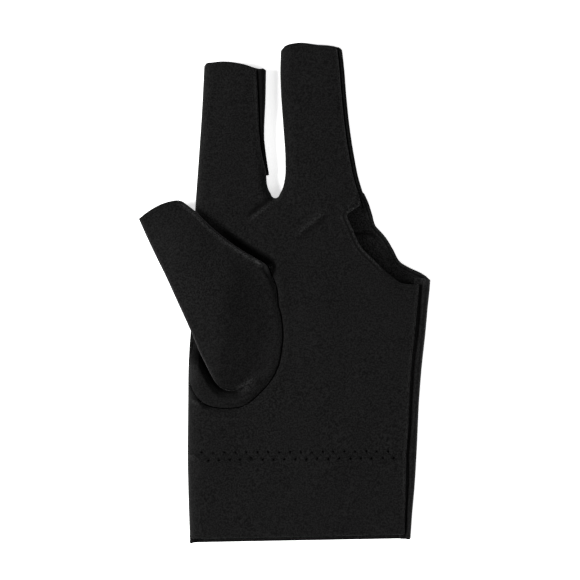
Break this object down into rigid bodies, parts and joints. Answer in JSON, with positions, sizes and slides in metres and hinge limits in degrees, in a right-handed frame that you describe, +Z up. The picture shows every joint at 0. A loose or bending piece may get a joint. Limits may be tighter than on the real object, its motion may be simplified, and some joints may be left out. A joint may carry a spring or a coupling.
{
  "type": "billiard glove",
  "caption": "Stretch billiard glove lying flat, palm up: open sleeves for thumb, index and middle finger, a side opening for the other fingers and a zigzag-hemmed cuff.",
  "frame": {"origin": "on the surface the glove lies on, under the middle of its bounding box", "axes": "+Y runs from the cuff to the fingertips, +Z points up out of the palm, +X points away from the thumb"},
  "size_m": [0.1194, 0.204, 0.0211],
  "materials": {
    "palm_cloth": "matte",
    "back_cloth": "matte",
    "thumb_cloth": "matte",
    "hem_cloth": "matte"
  },
  "bodies": {
    "root": {"palm_panel": "palm_cloth", "back_panel": "back_cloth", "thumb_sleeve": "thumb_cloth", "cuff_hem": "hem_cloth", "palm_opening_hem": "hem_cloth", "back_opening_hem": "hem_cloth"}
  },
  "joints": []
}
